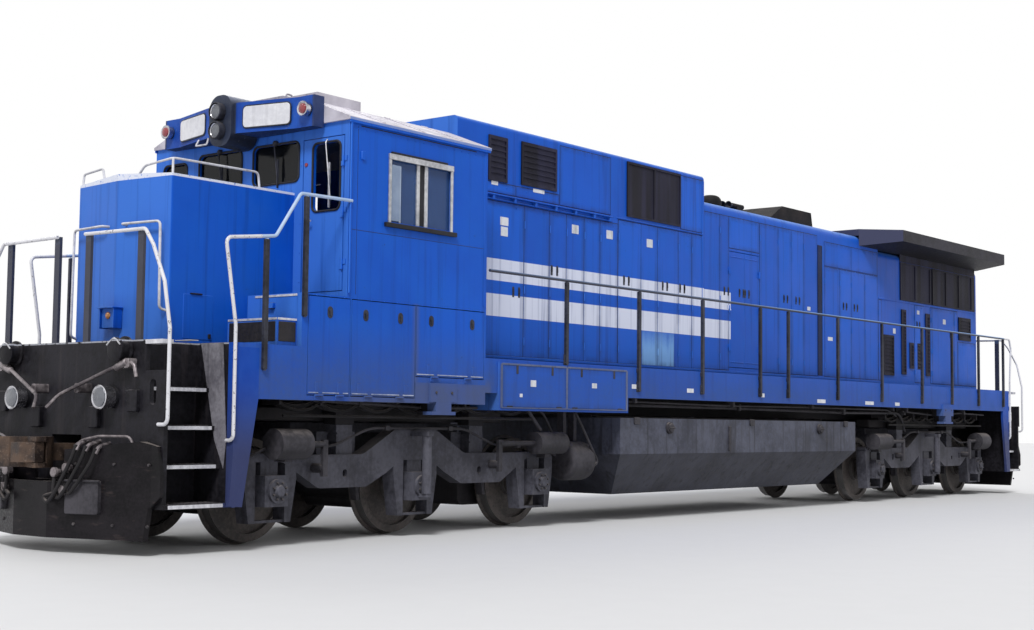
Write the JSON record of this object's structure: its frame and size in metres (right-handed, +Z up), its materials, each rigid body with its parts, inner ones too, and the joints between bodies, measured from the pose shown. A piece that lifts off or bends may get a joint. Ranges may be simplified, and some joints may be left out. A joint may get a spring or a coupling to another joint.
{
  "type": "diesel locomotive",
  "caption": "Six-axle road-switcher diesel locomotive with a low nose, a cab near the front, long hoods, walkways with handrails, swivelling trucks, couplers and opening doors.",
  "frame": {"origin": "on the floor midway between the couplers and between the sides; the floor is the flange bottoms, 29 mm below the rail top", "axes": "+X forward to the nose, +Y to the left side, +Z up"},
  "size_m": [21.54, 3.112, 4.7289],
  "materials": {
    "blue_paint": "weathered gloss",
    "black_paint": "dusty matte",
    "grey_paint": "dusty matte",
    "white_paint": "worn gloss",
    "rail_paint": "worn satin",
    "grimy_steel": "grimy matte",
    "truck_grime": "dusty matte",
    "cast_steel": "rusty",
    "wheel_steel": "worn bright tread",
    "lamp_chrome": "polished",
    "interior": "worn matte",
    "glass": "clear"
  },
  "bodies": {
    "carbody": {"underframe": "grimy_steel", "draft_pockets": "grimy_steel", "front_platform": "blue_paint", "rear_platform": "blue_paint", "front_plow": "black_paint", "rear_plow": "black_paint", "fuel_tank": "grey_paint", "air_reservoirs": "grey_paint", "nose": "blue_paint", "cab_base": "blue_paint", "cab_shell": "blue_paint", "cab_roof": "blue_paint", "window_glass": "glass", "cab_interior": "interior", "number_box": "blue_paint", "lamps": "lamp_chrome", "side_boxes": "blue_paint", "blower_hood": "blue_paint", "engine_hood": "blue_paint", "radiator_hood": "blue_paint", "radiator_canopy": "blue_paint", "grilles": "black_paint", "engine_block": "grey_paint", "roof_fittings": "black_paint", "side_handrails": "rail_paint", "end_handrails": "white_paint"},
    "front_coupler": {"front_coupler": "cast_steel"},
    "front_knuckle": {"front_knuckle": "cast_steel"},
    "front_truck": {"front_truck_frame": "truck_grime", "front_journal_boxes": "truck_grime", "front_traction_motors": "truck_grime", "front_brake_gear": "truck_grime"},
    "front_wheelset_outer": {"front_wheelset_outer": "wheel_steel"},
    "front_wheelset_middle": {"front_wheelset_middle": "wheel_steel"},
    "front_wheelset_inner": {"front_wheelset_inner": "wheel_steel"},
    "rear_coupler": {"rear_coupler": "cast_steel"},
    "rear_knuckle": {"rear_knuckle": "cast_steel"},
    "rear_truck": {"rear_truck_frame": "truck_grime", "rear_journal_boxes": "truck_grime", "rear_traction_motors": "truck_grime", "rear_brake_gear": "truck_grime"},
    "rear_wheelset_outer": {"rear_wheelset_outer": "wheel_steel"},
    "rear_wheelset_middle": {"rear_wheelset_middle": "wheel_steel"},
    "rear_wheelset_inner": {"rear_wheelset_inner": "wheel_steel"},
    "cab_front_door": {"cab_front_door": "blue_paint"},
    "cab_rear_door": {"cab_rear_door": "blue_paint"},
    "box_door_a_left": {"box_door_a_left": "blue_paint"},
    "box_door_b_left": {"box_door_b_left": "blue_paint"},
    "box_door_c_left": {"box_door_c_left": "blue_paint"},
    "hood_door_front_left": {"hood_door_front_left": "blue_paint"},
    "hood_door_rear_left": {"hood_door_rear_left": "blue_paint"},
    "box_door_a_right": {"box_door_a_right": "blue_paint"},
    "box_door_b_right": {"box_door_b_right": "blue_paint"},
    "box_door_c_right": {"box_door_c_right": "blue_paint"},
    "hood_door_front_right": {"hood_door_front_right": "blue_paint"},
    "hood_door_rear_right": {"hood_door_rear_right": "blue_paint"}
  },
  "joints": [
    {"name": "front_coupler_swing", "type": "hinge", "parent": "carbody", "child": "front_coupler", "pos_m": [9.9, 0, 0.905], "axis": [0, 0, 1], "range_deg": [-7, 7]},
    {"name": "front_knuckle_open", "type": "hinge", "parent": "front_coupler", "child": "front_knuckle", "pos_m": [10.61, 0.15, 0.905], "axis": [0, 0, 1], "range_deg": [0, 50]},
    {"name": "front_truck_swivel", "type": "hinge", "parent": "carbody", "child": "front_truck", "pos_m": [6.604, 0, 1.229], "axis": [0, 0, 1], "range_deg": [-4.5, 4.5]},
    {"name": "front_wheelset_outer_roll", "type": "hinge", "parent": "front_truck", "child": "front_wheelset_outer", "pos_m": [8.674, 0, 0.537], "axis": [0, 1, 0], "continuous": true},
    {"name": "front_wheelset_middle_roll", "type": "hinge", "parent": "front_truck", "child": "front_wheelset_middle", "pos_m": [6.604, 0, 0.537], "axis": [0, 1, 0], "continuous": true},
    {"name": "front_wheelset_inner_roll", "type": "hinge", "parent": "front_truck", "child": "front_wheelset_inner", "pos_m": [4.534, 0, 0.537], "axis": [0, 1, 0], "continuous": true},
    {"name": "rear_coupler_swing", "type": "hinge", "parent": "carbody", "child": "rear_coupler", "pos_m": [-9.9, 0, 0.905], "axis": [0, 0, 1], "range_deg": [-7, 7]},
    {"name": "rear_knuckle_open", "type": "hinge", "parent": "rear_coupler", "child": "rear_knuckle", "pos_m": [-10.61, -0.15, 0.905], "axis": [0, 0, 1], "range_deg": [0, 50]},
    {"name": "rear_truck_swivel", "type": "hinge", "parent": "carbody", "child": "rear_truck", "pos_m": [-6.604, 0, 1.229], "axis": [0, 0, 1], "range_deg": [-4.5, 4.5]},
    {"name": "rear_wheelset_outer_roll", "type": "hinge", "parent": "rear_truck", "child": "rear_wheelset_outer", "pos_m": [-8.674, 0, 0.537], "axis": [0, 1, 0], "continuous": true},
    {"name": "rear_wheelset_middle_roll", "type": "hinge", "parent": "rear_truck", "child": "rear_wheelset_middle", "pos_m": [-6.604, 0, 0.537], "axis": [0, 1, 0], "continuous": true},
    {"name": "rear_wheelset_inner_roll", "type": "hinge", "parent": "rear_truck", "child": "rear_wheelset_inner", "pos_m": [-4.534, 0, 0.537], "axis": [0, 1, 0], "continuous": true},
    {"name": "cab_front_door_swing", "type": "hinge", "parent": "carbody", "child": "cab_front_door", "pos_m": [8.061, 1.4455, 3.299], "axis": [0, 0, 1], "range_deg": [0, 90]},
    {"name": "cab_rear_door_swing", "type": "hinge", "parent": "carbody", "child": "cab_rear_door", "pos_m": [5.881, -1.4355, 3.299], "axis": [0, 0, 1], "range_deg": [0, 90]},
    {"name": "box_door_a_left_drop", "type": "hinge", "parent": "carbody", "child": "box_door_a_left", "pos_m": [8.28, 1.534, 1.4645], "axis": [-1, 0, 0], "range_deg": [0, 100]},
    {"name": "box_door_b_left_drop", "type": "hinge", "parent": "carbody", "child": "box_door_b_left", "pos_m": [7.5075, 1.534, 1.4645], "axis": [-1, 0, 0], "range_deg": [0, 100]},
    {"name": "box_door_c_left_drop", "type": "hinge", "parent": "carbody", "child": "box_door_c_left", "pos_m": [6.475, 1.534, 1.6885], "axis": [-1, 0, 0], "range_deg": [0, 100]},
    {"name": "hood_door_front_left_swing", "type": "hinge", "parent": "carbody", "child": "hood_door_front_left", "pos_m": [-0.1545, 1.014, 2.889], "axis": [0, 0, -1], "range_deg": [0, 100]},
    {"name": "hood_door_rear_left_swing", "type": "hinge", "parent": "carbody", "child": "hood_door_rear_left", "pos_m": [-1.0055, 1.014, 2.889], "axis": [0, 0, 1], "range_deg": [0, 100]},
    {"name": "box_door_a_right_drop", "type": "hinge", "parent": "carbody", "child": "box_door_a_right", "pos_m": [8.28, -1.534, 1.4645], "axis": [1, 0, 0], "range_deg": [0, 100]},
    {"name": "box_door_b_right_drop", "type": "hinge", "parent": "carbody", "child": "box_door_b_right", "pos_m": [7.5075, -1.534, 1.4645], "axis": [1, 0, 0], "range_deg": [0, 100]},
    {"name": "box_door_c_right_drop", "type": "hinge", "parent": "carbody", "child": "box_door_c_right", "pos_m": [6.475, -1.534, 1.6885], "axis": [1, 0, 0], "range_deg": [0, 100]},
    {"name": "hood_door_front_right_swing", "type": "hinge", "parent": "carbody", "child": "hood_door_front_right", "pos_m": [-0.1545, -1.014, 2.889], "axis": [0, 0, 1], "range_deg": [0, 100]},
    {"name": "hood_door_rear_right_swing", "type": "hinge", "parent": "carbody", "child": "hood_door_rear_right", "pos_m": [-1.0055, -1.014, 2.889], "axis": [0, 0, -1], "range_deg": [0, 100]}
  ]
}
